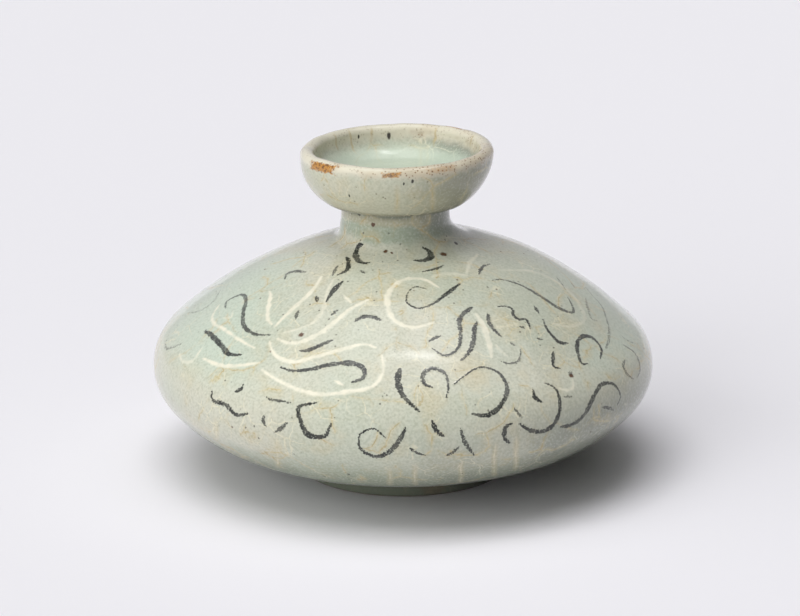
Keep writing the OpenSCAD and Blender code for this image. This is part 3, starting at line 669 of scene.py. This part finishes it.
def ground(at, z, wander):
    """Colour of the glaze without its cracks: thin, thick or pooled, with painted shade to the right, low and under
    the dish.
    """
    right = at.along(RIGHT)
    out = at.vector("MULTIPLY", (1, 1, 0)).vector("LENGTH", out="Value")
    blotch, drifts, deep = at.cloud(5.5, 4, 0.6), at.cloud(12) - 0.5, z + 4 * wander
    thick = (abs(right) - 0.2 * right + 26 * drifts).step(18, 34) * z.step(*MINT_RISE)
    # How much painted shade the right side takes: low on the belly, and on the neck and dish
    right_shade_share = (z.step(*RIGHT_SHADE_LOW) * 0.8).either(z.step(*RIGHT_SHADE_HIGH) * 0.95)
    return layered(
        at.cloud(22).step(0.36, 0.64).mix(GREY_GREEN, GREY_CREAM),
        (blotch.step(0.5, 0.72), 0.4, STRAW),
        (blotch.step(0.46, 0.3), 0.5, MIST),
        (thick, 0.8, MINT),
        (deep.step(*POOL_RISE).both(z.step(*POOL_END)), 0.65, POOLED),
        # Painted shade, darker towards the bottom of the belly
        (deep.step(*SHADE_FALL), 0.95, SHADED),
        (z.band(*RING_BAND), 0.4, BISCUIT),
        # Dark seam where the neck meets the dish, with painted shade under the dish's overhang
        ((z + wander).step(*SEAM_SHADE_RISE).both(z.step(*SEAM_SHADE_END)), 0.7, SEAM_SHADE),
        # Painted shade on the right side, away from the lamps
        ((right.math("DIVIDE", out) + drifts).step(-0.1, 0.85), right_shade_share, RIGHT_SHADE),
    )


def crackle(at, z, wander):
    """Masks of the stains, the cracks, the halos round them and the pale ridges."""
    broken = at.strayed(9, 6).strayed(2, 1).strayed(0.5, 0.15)
    blurred = at.strayed(2.5, 4)
    stained = reduce(Socket.either, [blurred.far_from(place).step(radius, 0) for place, radius in STAINS])
    crazed = at.cloud(6, 3).step(0.46, 0.6).either(stained)
    net = broken.cells(CRACK_FIELD, "DISTANCE_TO_EDGE")
    crack, halo = net.step(*CRACK_LINE) * crazed, net.step(*CRACK_HALO) * crazed
    ridged = at.cloud(7, 3).step(0.5, 0.6).either(stained.step(*STAIN_CORE))
    ridge = broken.cells(RIDGE_FIELD, "DISTANCE_TO_EDGE").step(*RIDGE_LINE) * ridged
    for facing, off, low, high in RUNS:
        side, away = ways(facing)
        here = z.band(low, low + 1.5, high - 3, high).both(at.faces(away))
        aside = abs(at.along(side) - off + 0.7 * wander)
        line = aside.step(*RUN_LINE) * here * at.cloud(2.5).step(0.34, 0.6)
        if low > DISH_Z:
            crack = crack.either(line)
        else:
            ridge = ridge.either(line)
        halo = halo.either(aside.step(*RUN_HALO) * here)
    return stained, crack, halo, ridge


def glaze(at):
    """Colour, roughness and relief of the crackled celadon glaze."""
    z, grain, wander = at.along(UP), at.cloud(0.42, 1), at.cloud(4) - 0.5
    stained, crack, halo, ridge = crackle(at, z, wander)
    flecked = (at.cloud(7) + 0.004 * z).step(0.56, 0.68).either(stained.step(*STAIN_CORE))
    uneven, rough = at.strayed(0.35, 0.3), at.strayed(0.6, 0.5)
    colour = layered(
        ground(at, z, wander),
        (halo.either(stained), 0.5, STRAW),
        (crack, 0.75, (at.cloud(3).step(0.5, 0.64) * 0.6).mix(CRACK, CRACK_BROWN)),
        (ridge, 0.55, RIDGE),
        (grain.step(0.5, 0.68), 0.25, MOSS),
        (grain.step(0.48, 0.32), 0.25, PALE),
        (uneven.dots(1.1, 0.24, 0.35) * flecked, 0.75, FLECK_AND_SHADE),
        (uneven.dots(3.5, 0.3, 0.3), 0.85, BROWN),
        *[(rough.far_from(place).step(radius, radius * SPOT_CORE), 1, tint) for place, radius, tint in SPOTS],
    )
    relief = 0.005 * grain + 0.035 * at.cloud(2.5) + 0.012 * ridge - 0.008 * crack
    return colour, 0.3 + 0.2 * grain, relief


def dish_look(at):
    """Glaze that runs thin and chipped over the lip and lies deep and green inside."""
    colour, roughness, relief = glaze(at)
    lip, wander = at.attribute("lip"), at.cloud(1.5) - 0.5
    edge = lip + 1.8 * (at.cloud(2.2, 3, 0.6) - 0.5)
    thin = edge.band(*LIP_CREAM)
    worn = (at.cloud(6) + 0.012 * at.along((0.8, -0.6, 0))).step(0.46, 0.66)
    colour = layered(
        colour,
        (edge.step(*DISH_SIDE), 0.2, STRAW),
        (edge.step(*DISH_INSIDE), 0.75, SEA),
        (thin, 0.9, CREAM),
        (thin * worn, 0.5, BISCUIT),
    )
    for degrees, long in DRIPS:
        side, out = ways(degrees)
        drip = abs(at.along(side) + 0.8 * wander).step(0.32, 0.05) * at.faces(out)
        colour = (drip * edge.band(-long - 1, -long + 1, -1.4, -0.4) * 0.5).mix(colour, OCHRE)
    pepper = at.strayed(0.3, 0.15).dots(0.45, 0.2, 0.6) * thin * (0.3 + 0.7 * worn)
    line = edge.band(*LIP_LINE) * worn * at.cloud(1.2).step(0.4, 0.6)
    colour = layered(colour, (pepper, 0.9, TAN), (line, 0.5, TAN))
    for degrees, down, radius in LIP_SPECKS:
        side, out = ways(degrees)
        across = at.along(side) - lip_spot(degrees).dot(side) + 0.6 * wander
        far = (across * across + 0.3 * (lip - down) * (lip - down)).math("SQRT")
        colour = (far.step(radius, radius * SPOT_CORE) * at.faces(out)).mix(colour, FLECK_AND_SHADE)
    ragged = 1.8 * (at.cloud(0.8, 3, 0.7) - 0.5)
    rust = at.cloud(0.5, 3, 0.7).step(0.38, 0.56).mix(RUST_DARK, RUST)
    for degrees, down, long, tall, depth in CHIPS:
        side, out = ways(degrees)
        along = abs(at.along(side) - lip_spot(degrees).dot(side)) * (1 / long)
        chip = along.either(abs(lip - down) * (1 / tall)) + ragged
        colour = (chip.step(1.15, 0.7) * at.faces(out) * depth).mix(colour, rust)
    return colour, roughness, relief + 0.12 * thin * at.cloud(1.6)


def foot_look(at):
    """Dark glaze in the foot's corner under painted shade, darker on the right, wiped off where the ring stands so
    that the fired clay shows.
    """
    colour, roughness, relief = glaze(at)
    z, ragged = at.along(UP), at.cloud(1.5, 3, 0.6) - 0.5
    patch = (at.far_from(ring_spot(16, FOOT_R, 2.4)) + 2 * ragged).step(3, 1.5) * 0.3
    bare = (z + 0.3 * ragged).step(0.25, 0.05).either(patch)
    colour = layered(
        colour,
        # Painted shade of the foot under the belly, over the glaze pooled in its corner
        (z.step(5.5, 3.5), 0.85, FOOT_POOL_AND_SHADE),
        # Painted shade on the foot's right side
        (at.along((1 / FOOT_R, 0, 0)).step(0.1, 0.9), 0.5, FLECK_AND_SHADE),
        (bare, 1, CLAY),
    )
    return colour, roughness + 0.4 * bare, relief


def black_look(at):
    """Black slip under the glaze: grains of pigment, fewer towards the edge of a stroke."""
    colour, roughness, relief = glaze(at)
    ink, grains = at.attribute("ink"), at.cloud(0.26, 1).step(0.3, 0.7)
    cover = at.attribute("edge").step(-0.2, 0.2) * (0.55 + 0.45 * ink)
    dense = (0.25 + 0.73 * ink) * (0.88 + 0.12 * at.cloud(1.8).step(0.36, 0.6))
    return ((cover - 0.75 * grains).step(0.1, 0.4) * dense).mix(colour, BLACK_INK), roughness, relief


def white_look(at):
    """White slip under the glaze: a soft, thin line that comes and goes."""
    colour, roughness, relief = glaze(at)
    edge = at.attribute("edge")
    cover = (edge + 0.4 * (at.cloud(1.1, 3, 0.6) - 0.5)).step(-0.1, 0.4).both(edge.step(-0.3, 0))
    uneven = 0.65 + 0.35 * at.cloud(2.2, 3, 0.6).step(0.36, 0.6)
    return (cover * at.attribute("ink") * uneven).mix(colour, WHITE_INK), roughness, relief


def finish(name, look):
    """A material from a look: a function of the place that gives colour, roughness and relief."""
    material = bpy.data.materials.new(name)
    material.use_nodes = True
    tree = material.node_tree
    shader = tree.nodes["Principled BSDF"]
    metres = Socket(tree, tree.nodes.new("ShaderNodeTexCoord").outputs["Object"])
    at = metres.node("VectorMath", {0: metres, "Scale": 1 / MM}, operation="SCALE")
    colour, roughness, relief = look(at)
    bump = at.node("Bump", {"Height": relief, "Distance": MM})
    for key, value in (("Base Color", colour), ("Roughness", roughness), ("Normal", bump)):
        tree.links.new(value.out, shader.inputs[key])
    for key, value in (("Specular IOR Level", CLAY_SPECULAR), ("Coat Weight", 1), ("Coat Roughness", COAT_ROUGHNESS)):
        shader.inputs[key].default_value = value
    return material


celadon = finish("celadon_glaze", glaze)
black_slip, white_slip = finish("black_slip", black_look), finish("white_slip", white_look)

# The pieces
LIP_TOP = Vector((RIM_R - DISH_WALL / 2, DISH_Z + DISH_RISE + DISH_WALL / 2))
make_piece(thrown(body_outline(), False), "body_skin", "body", celadon)
make_piece(thrown(neck_outline(), True), "neck_skin", "neck", celadon)
make_piece(thrown(dish_outline(), True, LIP_TOP), "dish_skin", "dish_mouth",
           finish("dish_glaze", dish_look))
make_piece(thrown(foot_outline(), True), "foot_skin", "foot_ring",
           finish("foot_glaze", foot_look))
MOTIFS = {
    "left_spray_black": (LEFT_SPRAY_BLACK, FULL_BRUSH), "left_spray_white": (LEFT_SPRAY_WHITE, WHITE_BRUSH),
    "right_spray_black": (RIGHT_SPRAY_BLACK, THIN_BRUSH), "right_spray_white": (RIGHT_SPRAY_WHITE, WHITE_BRUSH),
    "scroll_black": (SCROLL_BLACK, THIN_BRUSH), "collar_black": (COLLAR_BLACK, FULL_BRUSH),
}
for side, turn in (("front", 0), ("rear", 180)):
    for motif, (lines, brush) in MOTIFS.items():
        node = f"{side}_{motif}"
        slot, slip = ("white_slip", white_slip) if brush is WHITE_BRUSH else ("black_slip", black_slip)
        make_piece(brushed(lines, brush, turn), node + "_slip", node, slip)

# Floor, in metres, a hair under the foot
BACKDROP = (0.84, 0.83, 0.87)
FLOOR_HALF, FLOOR_DROP, FLOOR_ROUGHNESS = 3, 0.02 * MM, 0.9
floor_mesh = bpy.data.meshes.new("floor")
bm = bmesh.new()
bmesh.ops.create_grid(bm, x_segments=1, y_segments=1, size=FLOOR_HALF)
bmesh.ops.translate(bm, vec=(0, 0, -FLOOR_DROP), verts=bm.verts)
bm.to_mesh(floor_mesh)
bm.free()
floor = bpy.data.objects.new("floor", floor_mesh)
bpy.context.scene.collection.objects.link(floor)
floor_paint = bpy.data.materials.new("floor_paint")
floor_paint.use_nodes = True
floor_bsdf = floor_paint.node_tree.nodes["Principled BSDF"]
floor_bsdf.inputs["Base Color"].default_value = (*BACKDROP, 1)
floor_bsdf.inputs["Roughness"].default_value = FLOOR_ROUGHNESS
floor_bsdf.inputs["Specular IOR Level"].default_value = 0
floor_mesh.materials.append(floor_paint)

# Soft lamps, which the glaze doesn't mirror: name, degrees to the right of the camera's side, degrees up and level
SOFT_WIDE = 40
SOFT_LAMPS = (
    ("left", -80, 20, 0.15), ("front_left", -34, 17, 0.38), ("high_left", -50, 45, 0.19),
    ("high_front", -25, 70, 0.42),
)
# Lamps overhead, which it does mirror: a broad veil, and a row of small ones that fades to both ends. A place in the
# row is in degrees up from the right.
VEIL_WIDE, VEIL_LEVEL, VEIL = 36, 0.095, ((180, 87), (105, 70), (255, 70))
GLARE_WIDE, GLARE_LEVEL, GLARE_MIDDLE, GLARE_FADE = 3, 0.0046, 84.5, 7.5
GLARE = (93, 90.5, 88, 85.5, 83, 80.5, 78, 75.5)
# Strength of the pale surroundings in the glaze's mirror, and as light on everything
MIRRORED, AMBIENT = 0.62, 0.008


def sun(name, azimuth, elevation, spread, level, glossy):
    """A soft lamp far off. Azimuth is from the camera's side of the bottle, to the right, in degrees."""
    lamp = bpy.data.lights.new(name, "SUN")
    lamp.energy = level * math.pi
    lamp.angle = math.radians(spread)
    thing = bpy.data.objects.new(name, lamp)
    a, e = math.radians(azimuth), math.radians(elevation)
    away = Vector((math.sin(a) * math.cos(e), -math.cos(a) * math.cos(e), math.sin(e)))
    thing.rotation_euler = away.to_track_quat("Z", "Y").to_euler()
    thing.visible_glossy = glossy
    bpy.context.scene.collection.objects.link(thing)


for name, azimuth, elevation, level in SOFT_LAMPS:
    sun(name, azimuth, elevation, SOFT_WIDE, level, False)
for azimuth, elevation in VEIL:
    sun("veil", azimuth, elevation, VEIL_WIDE, VEIL_LEVEL, True)
for place in GLARE:
    sun("glare", 90, place, GLARE_WIDE, GLARE_LEVEL * math.exp(-((place - GLARE_MIDDLE) / GLARE_FADE) ** 2), True)

world = bpy.data.worlds.new("studio")
bpy.context.scene.world = world
world.use_nodes = True
tree = world.node_tree
rays = Socket(tree, tree.nodes.new("ShaderNodeLightPath").outputs["Is Camera Ray"])
strength = rays.either(rays.other("Is Glossy Ray") * MIRRORED).either(AMBIENT)
background = tree.nodes["Background"]
background.inputs["Color"].default_value = (*BACKDROP, 1)
tree.links.new(strength.out, background.inputs["Strength"])

# Camera: a long lens, a little above the bottle
CAM_UP, CAM_FAR, LOOK = math.radians(16.62), 650, Vector((-0.54, 0, 28.03))
CAM_LENS, CAM_SENSOR, CAM_NEAR = 170.2, 36, 0.01
camera = bpy.data.objects.new("camera", bpy.data.cameras.new("camera"))
camera.data.lens = CAM_LENS
camera.data.sensor_width = CAM_SENSOR
camera.data.sensor_fit = "HORIZONTAL"
camera.data.clip_start = CAM_NEAR
away = Vector((0, -math.cos(CAM_UP), math.sin(CAM_UP)))
camera.location = (LOOK + CAM_FAR * away) * MM
camera.rotation_euler = away.to_track_quat("Z", "Y").to_euler()
bpy.context.scene.collection.objects.link(camera)
bpy.context.scene.camera = camera
bpy.context.scene.view_settings.view_transform = "Standard"
